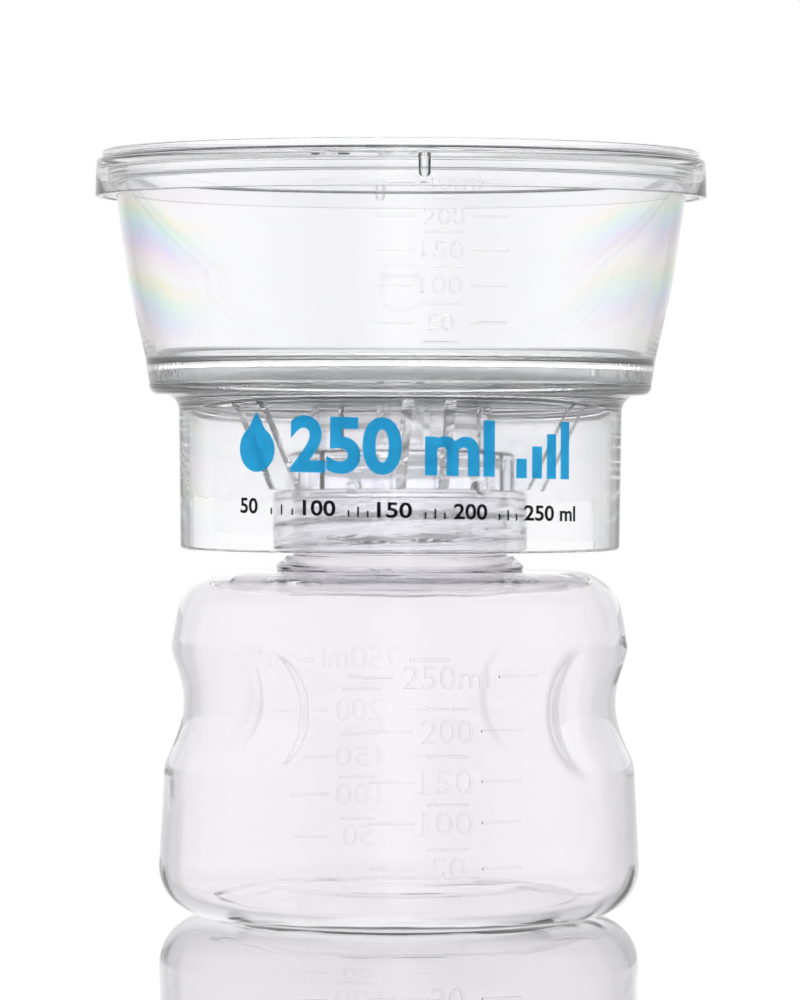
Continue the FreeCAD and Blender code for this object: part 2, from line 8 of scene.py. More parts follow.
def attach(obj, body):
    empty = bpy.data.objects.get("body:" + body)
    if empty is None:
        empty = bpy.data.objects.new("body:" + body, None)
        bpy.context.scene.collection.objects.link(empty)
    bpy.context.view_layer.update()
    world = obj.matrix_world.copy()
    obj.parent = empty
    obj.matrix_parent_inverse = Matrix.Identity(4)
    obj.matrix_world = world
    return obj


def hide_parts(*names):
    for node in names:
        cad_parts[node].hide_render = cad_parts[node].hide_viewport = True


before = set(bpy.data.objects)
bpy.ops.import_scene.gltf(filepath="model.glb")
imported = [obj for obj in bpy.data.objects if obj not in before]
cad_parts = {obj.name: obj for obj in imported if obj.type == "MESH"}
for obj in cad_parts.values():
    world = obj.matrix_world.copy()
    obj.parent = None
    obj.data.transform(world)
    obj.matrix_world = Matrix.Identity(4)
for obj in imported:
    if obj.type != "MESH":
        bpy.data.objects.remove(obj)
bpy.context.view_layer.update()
mm = 0.001    # the pieces' sizes are in mm
zAxis = Vector((0, 0, 1))
print("frame loaded:", sorted(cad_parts))


# the arc of a rounded corner: degrees and mm per step, and the most steps
arcSteps = {
    "turn": 9,
    "length": 1.2,
    "most": 24,
}


# mesh helpers: every outline is a list of (distance from the axis, height, rounding) in mm
def outlineWire(corners, closed):
    bm = bmesh.new()
    verts = [bm.verts.new((r * mm, 0, z * mm)) for r, z, rounding in corners]
    for a, b in zip(verts, verts[1:]):
        bm.edges.new((a, b))
    if closed:
        bm.edges.new((verts[-1], verts[0]))
    for i, (r, z, rounding) in enumerate(corners):
        if not rounding:
            continue
        here = Vector((r, z))
        back = Vector(corners[i - 1][:2]) - here
        ahead = Vector(corners[(i + 1) % len(corners)][:2]) - here
        half = back.angle(ahead) / 2
        sweep = math.pi - 2 * half
        steps = max(2, math.ceil(math.degrees(sweep) / arcSteps["turn"]),
                    math.ceil(rounding * sweep / arcSteps["length"]))
        bmesh.ops.bevel(bm, geom=[verts[i]], offset=rounding / math.tan(half) * mm,
                        offset_type="OFFSET", segments=min(steps, arcSteps["most"]), profile=0.5,
                        affect="VERTICES", material=-1)
    return bm


# cuts the outline's runs between two heights into steps, unless they are hardly longer
def splitLevels(bm, low, high, step, rMin):
    for edge in list(bm.edges):
        heights = sorted(v.co.z / mm for v in edge.verts)
        inside = heights[0] >= low - 0.01 and heights[1] <= high + 0.01
        rise = heights[1] - heights[0]
        if inside and rise > step * 1.5 and edge.verts[0].co.x > rMin * mm:
            bmesh.ops.subdivide_edges(bm, edges=[edge], cuts=round(rise / step) - 1)


def spinOutline(bm, segments):
    bmesh.ops.spin(bm, geom=bm.verts[:] + bm.edges[:], axis=zAxis, cent=(0, 0, 0),
                   angle=math.tau, steps=segments, use_merge=True)
    bmesh.ops.remove_doubles(bm, verts=bm.verts, dist=1e-6)
    bmesh.ops.recalc_face_normals(bm, faces=bm.faces)


# gives every point the new distance from the axis that change(r, turn, z) says, in mm
def movePoints(bm, change):
    for v in bm.verts:
        r = math.hypot(v.co.x, v.co.y)
        if r < 1e-6:
            continue
        new = change(r / mm, math.atan2(v.co.y, v.co.x), v.co.z / mm) * mm
        v.co.x *= new / r
        v.co.y *= new / r


def meshFrom(name, bm):
    mesh = bpy.data.meshes.new(name)
    bm.to_mesh(mesh)
    bm.free()
    piece = bpy.data.objects.new(name, mesh)
    bpy.context.scene.collection.objects.link(piece)
    return piece


def vertsOf(geometry):
    return [item for item in geometry if isinstance(item, bmesh.types.BMVert)]


# a flat face through these points, pulled out into a plate
def addPlate(bm, points, way):
    face = bm.faces.new([bm.verts.new(point) for point in points])
    grown = bmesh.ops.extrude_face_region(bm, geom=[face])["geom"]
    bmesh.ops.translate(bm, verts=vertsOf(grown), vec=way)


# joins to a piece, or cuts from it, some tool solids, which are then removed
def carve(piece, tools, operation):
    for tool in tools:
        modifier = piece.modifiers.new("carve", "BOOLEAN")
        modifier.operation = operation
        modifier.solver = "EXACT"
        modifier.object = tool
        graph = bpy.context.evaluated_depsgraph_get()
        mesh = bpy.data.meshes.new_from_object(piece.evaluated_get(graph))
        piece.modifiers.remove(modifier)
        piece.data = mesh
        bpy.data.objects.remove(tool)


def finishPiece(piece, body, material):
    mesh = piece.data
    mesh.polygons.foreach_set("use_smooth", [True] * len(mesh.polygons))
    mesh.set_sharp_from_angle(angle=math.radians(30))
    mesh.materials.clear()
    mesh.materials.append(material)
    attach(piece, body)
    print("made", piece.name, len(mesh.polygons), "faces")


# material helpers
def linear(hexColour):
    parts = [int(hexColour[i:i + 2], 16) / 255 for i in (1, 3, 5)]
    return tuple(c / 12.92 if c <= 0.04045 else ((c + 0.055) / 1.055) ** 2.4 for c in parts) + (1,)


def addNode(tree, kind, settings=None, inputs=None, links=None):
    node = tree.nodes.new(kind)
    for key, value in (settings or {}).items():
        setattr(node, key, value)
    for key, value in (inputs or {}).items():
        node.inputs[key].default_value = value
    for key, socket in (links or {}).items():
        tree.links.new(socket, node.inputs[key])
    return node


def newMaterial(name):
    material = bpy.data.materials.new(name)
    material.use_nodes = True
    material.node_tree.nodes.clear()
    return material, material.node_tree


# gives a colour ramp its stops, each (place, colour), from left to right
def fillRamp(ramp, stops):
    elements = ramp.color_ramp.elements
    while len(elements) < len(stops):
        elements.new(1.0)
    for element, (where, colour) in zip(elements, stops):
        element.position = where
        element.color = colour


# Crystal polystyrene: IOR 1.59, mirror smooth, a very slight grey in thick places. The
# moulded-in stress shows as pale rainbow bands where a piece is given bands.
plastic = {
    "tint": "#FDFDFE",
    "ior": 1.59,
    "roughness": 0.012,
    "greyDepth": 0.5,
    "greyColour": "#5F6468",
}


def clearPlastic(name, bands=None, ripple=0.0, rippleSize=20.0, frost=None,
                 roughness=plastic["roughness"], tint=plastic["tint"],
                 greyColour=plastic["greyColour"], greyDepth=plastic["greyDepth"]):
    material, tree = newMaterial(name)
    output = addNode(tree, "ShaderNodeOutputMaterial")
    shader = addNode(tree, "ShaderNodeBsdfPrincipled", None, {
        "Base Color": linear(tint),
        "Roughness": roughness,
        "IOR": plastic["ior"],
        "Transmission Weight": 1.0,
    })
    tree.links.new(shader.outputs["BSDF"], output.inputs["Surface"])
    absorb = addNode(tree, "ShaderNodeVolumeAbsorption", None, {
        "Color": linear(greyColour),
        "Density": greyDepth,
    })
    tree.links.new(absorb.outputs["Volume"], output.inputs["Volume"])
    place = addNode(tree, "ShaderNodeTexCoord")
    if bands:
        addStressBands(tree, shader, place, bands)
    if frost:
        addFrost(tree, shader, place, frost)
    if ripple:
        waves = addNode(tree, "ShaderNodeTexNoise", None,
                        {"Scale": 1000 / rippleSize, "Detail": 1.0, "Roughness": 0.4},
                        {"Vector": place.outputs["Object"]})
        bump = addNode(tree, "ShaderNodeBump", None,
                       {"Strength": 1.0, "Distance": ripple * mm},
                       {"Height": waves.outputs["Fac"]})
        tree.links.new(bump.outputs["Normal"], shader.inputs["Normal"])
    return material


# The weld zone inside a radius, between two heights: crushed and bubbled plastic, which looks
# grainy and scatters the light. Sizes in mm; the grain is drawn coarse enough to show.
weld = {
    "fadeIn": 0.3,
    "fadeOut": 0.1,
    "grain": 1.6,
    "relief": 0.12,
    "roughness": 0.3,
}


def addFrost(tree, shader, place, frost):
    split = addNode(tree, "ShaderNodeSeparateXYZ", None, None,
                    {"Vector": place.outputs["Object"]})
    level = addNode(tree, "ShaderNodeVectorMath", {"operation": "MULTIPLY"}, {1: (1, 1, 0)},
                    {0: place.outputs["Object"]})
    radius = addNode(tree, "ShaderNodeVectorMath", {"operation": "LENGTH"}, None,
                     {0: level.outputs["Vector"]})
    low, high = frost["levels"]
    masks = [(split.outputs["Z"], low, low + weld["fadeIn"]),
             (split.outputs["Z"], high + weld["fadeOut"], high),
             (radius.outputs["Value"], frost["inside"] + weld["fadeOut"], frost["inside"])]
    shares = [addNode(tree, "ShaderNodeMapRange", {"interpolation_type": "SMOOTHSTEP"},
                      {"From Min": start * mm, "From Max": end * mm}, {"Value": socket})
              for socket, start, end in masks]
    part = addNode(tree, "ShaderNodeMath", {"operation": "MULTIPLY"}, None,
                   {0: shares[0].outputs["Result"], 1: shares[1].outputs["Result"]})
    share = addNode(tree, "ShaderNodeMath", {"operation": "MULTIPLY"}, None,
                    {0: part.outputs[0], 1: shares[2].outputs["Result"]})
    grain = addNode(tree, "ShaderNodeTexNoise", None,
                    {"Scale": 1000 / weld["grain"], "Detail": 2.0, "Roughness": 0.6},
                    {"Vector": place.outputs["Object"]})
    height = addNode(tree, "ShaderNodeMath", {"operation": "MULTIPLY"}, None,
                     {0: grain.outputs["Fac"], 1: share.outputs[0]})
    bump = addNode(tree, "ShaderNodeBump", None,
                   {"Strength": 1.0, "Distance": weld["relief"] * mm},
                   {"Height": height.outputs[0]})
    tree.links.new(bump.outputs["Normal"], shader.inputs["Normal"])
    rough = addNode(tree, "ShaderNodeMapRange", None,
                    {"To Min": plastic["roughness"], "To Max": weld["roughness"]},
                    {"Value": share.outputs[0]})
    tree.links.new(rough.outputs["Result"], shader.inputs["Roughness"])


# pale rainbow bands on the piece's left and right, which fade out near two heights
rainbow = {
    "hues": ("#FFFFFF", "#FFE9F4", "#E4D4FF", "#C9E8FF", "#CFFBE6", "#FFF6CC", "#FFFFFF"),
    "fade": 6,
}


def addStressBands(tree, shader, place, bands):
    split = addNode(tree, "ShaderNodeSeparateXYZ", None, None,
                    {"Vector": place.outputs["Object"]})
    side = addNode(tree, "ShaderNodeMath", {"operation": "ABSOLUTE"}, None,
                   {0: split.outputs["X"]})
    swirl = addNode(tree, "ShaderNodeTexNoise", None,
                    {"Scale": 1000 / bands["swirl"], "Detail": 1.5, "Roughness": 0.45},
                    {"Vector": place.outputs["Object"]})
    rise = addNode(tree, "ShaderNodeMath", {"operation": "MULTIPLY"},
                   {1: 1000 / bands["pitch"]}, {0: split.outputs["Z"]})
    order = addNode(tree, "ShaderNodeMath", {"operation": "MULTIPLY_ADD"},
                    {1: bands["bend"]}, {0: swirl.outputs["Fac"], 2: rise.outputs[0]})
    lean = addNode(tree, "ShaderNodeMath", {"operation": "MULTIPLY_ADD"},
                   {1: bands["lean"]}, {0: side.outputs[0], 2: order.outputs[0]})
    cycle = addNode(tree, "ShaderNodeMath", {"operation": "FRACT"}, None,
                    {0: lean.outputs[0]})
    ramp = addNode(tree, "ShaderNodeValToRGB", None, None, {"Fac": cycle.outputs[0]})
    ramp.color_ramp.interpolation = "EASE"
    last = len(rainbow["hues"]) - 1
    fillRamp(ramp, [(i / last, linear(hue)) for i, hue in enumerate(rainbow["hues"])])
    near = addNode(tree, "ShaderNodeMapRange", {"interpolation_type": "SMOOTHSTEP"},
                   {"From Min": bands["from"] * mm, "From Max": bands["full"] * mm},
                   {"Value": side.outputs[0]})
    low, high = bands["levels"]
    above = addNode(tree, "ShaderNodeMapRange", {"interpolation_type": "SMOOTHSTEP"},
                    {"From Min": low * mm, "From Max": (low + rainbow["fade"]) * mm},
                    {"Value": split.outputs["Z"]})
    below = addNode(tree, "ShaderNodeMapRange", {"interpolation_type": "SMOOTHSTEP"},
                    {"From Min": high * mm, "From Max": (high - rainbow["fade"]) * mm},
                    {"Value": split.outputs["Z"]})
    level = addNode(tree, "ShaderNodeMath", {"operation": "MULTIPLY"}, None,
                    {0: above.outputs["Result"], 1: below.outputs["Result"]})
    amount = addNode(tree, "ShaderNodeMath", {"operation": "MULTIPLY"}, None,
                     {0: near.outputs["Result"], 1: level.outputs[0]})
    share = addNode(tree, "ShaderNodeMath", {"operation": "MULTIPLY"},
                    {1: bands["strength"]}, {0: amount.outputs[0]})
    mix = addNode(tree, "ShaderNodeMix", {"data_type": "RGBA"}, None,
                  {"Factor": share.outputs[0]})
    mix.inputs[6].default_value = linear(plastic["tint"])
    tree.links.new(ramp.outputs["Color"], mix.inputs[7])
    tree.links.new(mix.outputs[2], shader.inputs["Base Color"])


def solidColour(name, hexColour, roughness, ior=1.5, transmission=0.0):
    material, tree = newMaterial(name)
    output = addNode(tree, "ShaderNodeOutputMaterial")
    shader = addNode(tree, "ShaderNodeBsdfPrincipled", None, {
        "Base Color": linear(hexColour),
        "Roughness": roughness,
        "IOR": ior,
        "Transmission Weight": transmission,
    })
    tree.links.new(shader.outputs["BSDF"], output.inputs["Surface"])
    return material


# the blown bottle is greyer where the light runs along inside its wall
bottlePlastic = clearPlastic("blowMouldedPolystyrene", ripple=0.25, rippleSize=14,
                             tint="#FDFCFE", greyColour="#B3B1BC", greyDepth=30.0)
basePlastic = clearPlastic("mouldedPolystyreneBase", bands={
    "levels": (66, 97), "pitch": 16, "swirl": 30, "bend": 0.8, "lean": -40,
    "from": 36, "full": 43, "strength": 0.2},
    frost={"levels": (101.3, 104.3), "inside": 46.0})
reservoirPlastic = clearPlastic("mouldedPolystyreneReservoir", bands={
    "levels": (106, 139), "pitch": 13, "swirl": 34, "bend": 1.3, "lean": -45,
    "from": 36, "full": 52, "strength": 0.55},
    frost={"levels": (100.5, 105.8), "inside": 46.9})
lidPlastic = clearPlastic("mouldedPolystyreneLid")
print("clear plastics ready")

# the screw thread that neck and collar share
thread = {
    "pitch": 4.233,
    "steepness": 3.2,
    "fade": 1.2,
}


# 0 to 1: how far the thread's ridge stands out at this place
def threadShare(turn, z, low, high):
    phase = ((z - low) / thread["pitch"] - (turn + math.pi / 2) / math.tau) % 1.0
    ridge = min(1.0, abs(phase - 0.5) * thread["steepness"])
    shape = 0.5 + 0.5 * math.cos(math.pi * ridge)
    centreZ = z - (phase - 0.5) * thread["pitch"]
    fade = min((centreZ - low) / thread["fade"], (high - centreZ) / thread["fade"])
    return shape * min(1.0, max(0.0, fade))


# receiver bottle: blow moulded, two finger grips, thread on the neck
bottle = {
    "segments": 288,
    "wall": 1.7,
    "radius": 46.1,
    "bulgeRadius": 43.55,
    "bulgeHeight": 50.2,
    "shoulderLean": 0.173,
    "gripHeight": 40.3,
    "gripRadius": 14.5,
    "gripDepth": 3.0,
    "gripHalfSpan": math.radians(45),
    "gripSoftness": 3.2,
    "gripLevels": (18, 62),
    "sideFrom": 36,
    "neckRadius": 20.3,
    "neckBore": 18.6,
    "lip": 86.2,
    "threadFrom": 71.6,
    "threadTo": 81.6,
    "threadHeight": 1.2,
    # (lowest, highest, step, nearest to the axis) of what is cut into fine rows
    "fineRows": ((9, 62, 0.8, 30), (68, 86.3, 0.35, 20)),
}
bottle["outline"] = (
    (0, 3.0, 0), (24.0, 3.0, 12), (34.0, 0, 2.5),                 # push-up
    (bottle["radius"], 0, 9.5),                                   # foot
    (bottle["bulgeRadius"], bottle["bulgeHeight"], 14),           # side
    (40.9, 65.5, 9.5), (23.3, 65.5, 0),                           # shoulder
    (23.55, 66.4, 0.4), (21.6, 68.3, 0.3),                        # ring below the thread
    (bottle["neckRadius"], 68.3, 0.3), (bottle["neckRadius"], bottle["lip"], 0.4),
    (bottle["neckBore"], bottle["lip"], 0.4), (bottle["neckBore"], 63.8, 3.6),
    (39.5, 63.8, 7.8), (41.87, 50.0, 15.7), (44.3, 2.0, 7.8),     # inside, downwards
    (35.0, 2.0, 4.0), (24.5, 5.0, 10), (0, 5.0, 0),
)


# the side wall's distance from the axis, up to the bulge
def bottleWallAt(z):
    taper = (bottle["radius"] - bottle["bulgeRadius"]) / bottle["bulgeHeight"]
    return bottle["radius"] - taper * z


# the grip surface's distance from the axis at this place, or None outside the grip
def gripWall(turn, z, inset):
    side = abs(math.atan2(math.sin(turn), abs(math.cos(turn))))
    centre = bottleWallAt(bottle["gripHeight"]) - bottle["gripDepth"] + bottle["gripRadius"]
    tool = bottle["gripRadius"] + inset
    beyond = max(0.0, side - bottle["gripHalfSpan"])
    if beyond > math.pi / 2:
        return None
    room = tool ** 2 - (z - bottle["gripHeight"]) ** 2 - (centre * math.sin(beyond)) ** 2
    if room <= 0:
        return None
    return centre * math.cos(beyond) - math.sqrt(room)


# the lower of two values, with the corner between them rounded over about k
def softLower(a, b, k):
    h = max(k - abs(a - b), 0.0) / k
    return min(a, b) - h * h * k * 0.25


# whether a point of the side wall belongs to its inner face
def innerSide(r, z):
    if z <= bottle["bulgeHeight"]:
        outside = bottleWallAt(z)
    else:
        lean = bottle["shoulderLean"]
        outside = bottle["bulgeRadius"] - (z - bottle["bulgeHeight"]) * lean
    return r < outside - bottle["wall"] / 2


def pressGrips(r, turn, z):
    low, high = bottle["gripLevels"]
    if not low < z < high or r < bottle["sideFrom"]:
        return r
    grip = gripWall(turn, z, bottle["wall"] if innerSide(r, z) else 0.0)
    if grip is None:
        return r
    return softLower(r, grip, bottle["gripSoftness"])


def shapeBottle(r, turn, z):
    low, high = bottle["threadFrom"], bottle["threadTo"]
    if low - 2 < z < high + 2 and abs(r - bottle["neckRadius"]) < 0.1:
        return r + threadShare(turn, z, low, high) * bottle["threadHeight"]
    return pressGrips(r, turn, z)


bm = outlineWire(bottle["outline"], closed=False)
for low, high, step, rMin in bottle["fineRows"]:
    splitLevels(bm, low, high, step, rMin)
spinOutline(bm, bottle["segments"])
movePoints(bm, shapeBottle)
bottlePiece = meshFrom("bottleBody", bm)
finishPiece(bottlePiece, "bottle", bottlePlastic)
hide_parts("receiver_bottle")

# filter base: one moulding, from the membrane bed down to the skirt
base = {
    "segments": 256,
    "cutReach": (34, 45),
    "cutBottom": 60,
    "cutTop": 81.2,
    "cutRound": 9.0,
    "cutFrom": math.radians(9),
    "cutSpan": math.radians(162),
    "ribThick": 2.0,
    "ribSpacing": 7.9,
    "ribTurns": (-60, 0, 60),
    "ribOutline": ((17.1, 101.4), (17.1, 88.5), (21.65, 88.5), (21.65, 81.9), (27.2, 81.9),
                   (37.2, 101.4)),
    "knobAway": 23.25,
    "knobTurns": (-30, 30),
    "knobHeight": 82.2,
    "knobRadius": 1.5,
    "bedTop": 104.0,
    "grooves": (8.5, 14.7, 20.9, 27.1, 33.3, 39.5),
    "grooveWidth": 2.4,
    "grooveFloor": 102.4,
    "drainInside": 3.0,
    "drainBottom": 91.0,
    "dishEdge": 6.0,
    "skirtRadius": 42.1,
    "skirtDraft": 0.4,
    "skirtTop": 98.7,
    "foot": 69.4,
    "plugRadius": 18.0,
    "plugInside": 16.2,
    "plateBottom": 100.9,
    "collarInside": 22.6,
    "threadFrom": 70.8,
    "threadTo": 79.6,
    "threadDepth": 0.5,
    "threadBelow": 80.2,
    # (lowest, highest, step, nearest to the axis) of the collar's threaded run
    "fineRows": (69, 81, 0.36, 22),
}
base["outline"] = (
    (47.75, 101.0, 0.2), (47.6, base["skirtTop"], 1.9),                           # flange
    (base["skirtRadius"], base["skirtTop"], 3.0),                                 # skirt
    (base["skirtRadius"] - base["skirtDraft"], base["foot"], 0.8), (39.9, base["foot"], 0.5),
    (40.3, base["plateBottom"], 1.5), (base["plugRadius"], base["plateBottom"], 1.0),
    (base["plugRadius"], 89.3, 0.8), (22.4, 89.3, 1.0), (22.4, 81.9, 0.3),        # collar
    (24.1, 81.9, 0.6), (24.1, base["foot"], 0.5),
    (base["collarInside"], base["foot"], 0.3), (base["collarInside"], 80.4, 0.3),
    (20.9, 80.4, 0.2), (20.9, 87.8, 0.2), (base["plugRadius"], 87.8, 0.2),        # lip's channel
    (base["plugRadius"], 81.2, 0.8), (base["plugInside"], 81.2, 0.8),             # plug ring
    (base["plugInside"], base["plateBottom"], 1.5), (4.5, base["plateBottom"], 1.0),
    (4.5, base["drainBottom"], 0.3),                                              # drain spout
)
base["rim"] = ((45.15, base["bedTop"], 0.3), (45.15, 101.0, 0))


# drain hole, shallow dish and ring grooves, from the axis outwards
def bedOutline():
    floor, top = base["grooveFloor"], base["bedTop"]
    corners = [(base["drainInside"], base["drainBottom"], 0), (base["drainInside"], floor, 0),
               (base["dishEdge"], floor, 0), (base["dishEdge"], top, 0)]
    for inside in base["grooves"]:
        outside = inside + base["grooveWidth"]
        corners += [(inside, top, 0), (inside, floor, 0), (outside, floor, 0), (outside, top, 0)]
    return corners


def shapeBase(r, turn, z):
    if abs(r - base["collarInside"]) < 0.1 and z < base["threadBelow"]:
        share = threadShare(turn, z, base["threadFrom"], base["threadTo"])
        return r - share * base["threadDepth"]
    return r


# the band that is cut away from the back of the skirt, with two rounded ends
def skirtCutter():
    bm = bmesh.new()
    near, far = base["cutReach"]
    corners = [(near, base["cutBottom"]), (far, base["cutBottom"]), (far, base["cutTop"]),
               (near, base["cutTop"])]
    face = bm.faces.new([bm.verts.new((r * mm, 0, z * mm)) for r, z in corners])
    turned = Matrix.Rotation(base["cutFrom"], 3, "Z")
    bmesh.ops.rotate(bm, verts=bm.verts, cent=(0, 0, 0), matrix=turned)
    bmesh.ops.spin(bm, geom=[face] + face.edges[:] + face.verts[:], axis=zAxis,
                   cent=(0, 0, 0), angle=base["cutSpan"], steps=96, use_merge=False)
    bmesh.ops.remove_doubles(bm, verts=bm.verts, dist=1e-7)
    ends = [edge for edge in bm.edges if isTopEnd(edge)]
    bmesh.ops.bevel(bm, geom=ends, offset=base["cutRound"] * mm, offset_type="OFFSET",
                    segments=10, profile=0.5, affect="EDGES", material=-1, clamp_overlap=False)
    bmesh.ops.recalc_face_normals(bm, faces=bm.faces)
    return meshFrom("skirtCutter", bm)


# whether an edge of the cutter is one of the two that cross it at the top of its ends
def isTopEnd(edge):
    near, far = base["cutReach"]
    across = abs(edge.calc_length() - (far - near) * mm) < 1e-5
    atTop = min(v.co.z for v in edge.verts) > (base["cutTop"] - 1) * mm
    middle = (edge.verts[0].co + edge.verts[1].co) / 2
    turn = math.atan2(middle.y, middle.x)
    first, last = base["cutFrom"], base["cutFrom"] + base["cutSpan"]
    return across and atTop and min(abs(turn - first), abs(turn - last)) < 0.01


# a flat plate whose outline is (distance to the front, height), turned about the axis
def ribPlate(offset, turn):
    bm = bmesh.new()
    side = offset - base["ribThick"] / 2
    addPlate(bm, [(side * mm, -y * mm, z * mm) for y, z in base["ribOutline"]],
             (base["ribThick"] * mm, 0, 0))
    bmesh.ops.rotate(bm, verts=bm.verts, cent=(0, 0, 0),
                     matrix=Matrix.Rotation(math.radians(turn), 3, "Z"))
    bmesh.ops.recalc_face_normals(bm, faces=bm.faces)
    return meshFrom("rib", bm)


def ball(name, centre, radius):
    bm = bmesh.new()
    bmesh.ops.create_icosphere(bm, subdivisions=4, radius=radius * mm)
    bmesh.ops.translate(bm, verts=bm.verts, vec=Vector(centre) * mm)
    return meshFrom(name, bm)


# hose nozzle: level out of the plug ring, 45 degrees down, a plain shank and three barbs
nozzle = {
    "height": 92.3,
    "from": 17.1,
    "elbow": 21.7,
    "bend": 4.5,
    "bendSteps": 8,
    "root": 3.6,
    "rootLength": 6.4,
    "radius": 3.2,
    "shankLength": 6.5,
    "barbs": 3,
    "barb": 3.0,
    "barbTip": 2.7,
    "bore": 1.7,
    "boreFrom": 14.7,
}


# pulls new edges out of a ring of edges, and gives the new vertices and edges
def growRing(bm, ring):
    grown = bmesh.ops.extrude_edge_only(bm, edges=ring)["geom"]
    return vertsOf(grown), [item for item in grown if isinstance(item, bmesh.types.BMEdge)]


# a tube that leaves level to the rear, bends 45 degrees down and ends in rings of
# (length along the slope, radius)
def bentTube(name, start, rings):
    bm = bmesh.new()
    wide = rings[0][1]
    bmesh.ops.create_circle(bm, cap_ends=False, segments=40, radius=wide * mm)
    bmesh.ops.rotate(bm, verts=bm.verts, cent=(0, 0, 0),
                     matrix=Matrix.Rotation(math.pi / 2, 3, "X"))
    bmesh.ops.translate(bm, verts=bm.verts, vec=Vector((0, start, nozzle["height"])) * mm)
    here = nozzle["bend"] * math.tan(math.radians(22.5))
    level = nozzle["elbow"] - here
    moved, ring = growRing(bm, bm.edges[:])
    bmesh.ops.translate(bm, verts=moved, vec=Vector((0, level - start, 0)) * mm)
    centre = Vector((0, level, nozzle["height"] - nozzle["bend"])) * mm
    bendStep = Matrix.Rotation(-math.radians(45 / nozzle["bendSteps"]), 3, "X")
    for number in range(nozzle["bendSteps"]):
        moved, ring = growRing(bm, ring)
        bmesh.ops.rotate(bm, verts=moved, cent=centre, matrix=bendStep)
    down = Vector((0, math.sqrt(0.5), -math.sqrt(0.5)))
    for length, radius in rings:
        moved, ring = growRing(bm, ring)
        bmesh.ops.translate(bm, verts=moved, vec=down * (length - here) * mm)
        middle = sum((v.co for v in moved), Vector()) / len(moved)
        for v in moved:
            v.co = middle + (v.co - middle) * (radius / wide)
        here, wide = length, radius
    bmesh.ops.holes_fill(bm, edges=bm.edges[:], sides=0)
    bmesh.ops.recalc_face_normals(bm, faces=bm.faces)
    return meshFrom(name, bm)


def baseFittings():
    joined = [ribPlate(side * base["ribSpacing"] / 2, turn)
              for turn in base["ribTurns"] for side in (-1, 1)]
    for turn in base["knobTurns"]:
        sideways, ahead = math.sin(math.radians(turn)), -math.cos(math.radians(turn))
        joined.append(ball("knob", (base["knobAway"] * sideways, base["knobAway"] * ahead,
                                    base["knobHeight"]), base["knobRadius"]))
    reach = nozzle["rootLength"]
    rings = [(reach, nozzle["root"]), (reach, nozzle["radius"])]
    reach += nozzle["shankLength"]
    for number in range(nozzle["barbs"]):
        rings += [(reach, nozzle["radius"]), (reach + nozzle["barb"], nozzle["barbTip"])]
        reach += nozzle["barb"]
    joined.append(bentTube("nozzle", nozzle["from"], rings))
    return joined, bentTube("nozzleBore", nozzle["boreFrom"], [(reach + 1, nozzle["bore"])])


bm = outlineWire((*base["outline"], *bedOutline(), *base["rim"]), closed=True)
splitLevels(bm, *base["fineRows"])
spinOutline(bm, base["segments"])
movePoints(bm, shapeBase)
basePiece = meshFrom("baseMoulding", bm)
joined, bore = baseFittings()
carve(basePiece, [skirtCutter()], "DIFFERENCE")
carve(basePiece, joined, "UNION")
carve(basePiece, [bore], "DIFFERENCE")
finishPiece(basePiece, "head", basePlastic)
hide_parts("filter_base")

# reservoir: a tapered, slightly bowed wall under a rim flange
reservoir = {
    "segments": 288,
    "outline": (
        (47.75, 101.0, 0.3), (48.4, 105.5, 2.0), (51.6, 119.9, 80),      # wall, outside
        (54.4, 139.3, 0.6), (55.9, 139.3, 0.5), (55.9, 141.5, 0.6),      # rim flange
        (52.8, 141.5, 0.5), (49.6, 119.9, 80), (46.4, 105.6, 0.8),       # wall, inside
        (43.45, 105.2, 0.3), (43.45, 104.4, 0), (45.45, 104.4, 0),       # clamp ledge
        (45.45, 101.0, 0),
    ),
    # the same wall for what is laid on it: (distance from the axis, height)
    "wallRuns": ((48.4, 105.5), (51.6, 120.0), (54.4, 139.3)),
    "wallBend": 0.03,
}
bm = outlineWire(reservoir["outline"], closed=True)
spinOutline(bm, reservoir["segments"])
reservoirPiece = meshFrom("reservoirWall", bm)
finishPiece(reservoirPiece, "head", reservoirPlastic)
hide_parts("reservoir")

# lid: dished panel, raised ring, skirt with two vent grooves
lid = {
    "segments": 288,
    "outline": (
        (0, 142.5, 0), (2.2, 142.4, 2.5), (4.6, 140.8, 1.2),             # gate mark, below
        (51.4, 140.8, 0.3), (51.4, 141.5, 0.3), (56.4, 141.5, 0.6),      # panel, below
        (56.6, 136.1, 0.4), (58.0, 136.1, 0.4), (57.8, 143.3, 0.7),      # skirt
        (56.7, 143.3, 0.3), (56.7, 144.9, 0.5), (54.9, 144.9, 0.5),      # raised ring
        (54.9, 143.1, 0.5), (52.8, 143.1, 0.5), (52.2, 142.2, 0.4),      # panel, above
        (5.0, 142.2, 1.2), (2.5, 143.8, 2.5), (0, 143.9, 0),             # gate mark, above
    ),
    "ventTurns": (-94.2, 85.8),
    "ventAway": 56.05,
    "ventFrom": 138.65,
    "ventLength": 3.4,
    "ventRadius": 1.15,
}
bm = outlineWire(lid["outline"], closed=False)
spinOutline(bm, lid["segments"])
lidPiece = meshFrom("lidMoulding", bm)
vents = []
for turn in lid["ventTurns"]:
    middle = Vector((math.cos(math.radians(turn)), math.sin(math.radians(turn)), 0))
    foot = middle * lid["ventAway"] + zAxis * lid["ventFrom"]
    bm = bmesh.new()
    bmesh.ops.create_cone(bm, cap_ends=True, segments=32, radius1=lid["ventRadius"] * mm,
                          radius2=lid["ventRadius"] * mm, depth=lid["ventLength"] * mm)
    bmesh.ops.translate(bm, verts=bm.verts, vec=(foot + zAxis * lid["ventLength"] / 2) * mm)
    vents.append(meshFrom("vent", bm))
    vents.append(ball("ventEnd", foot, lid["ventRadius"]))
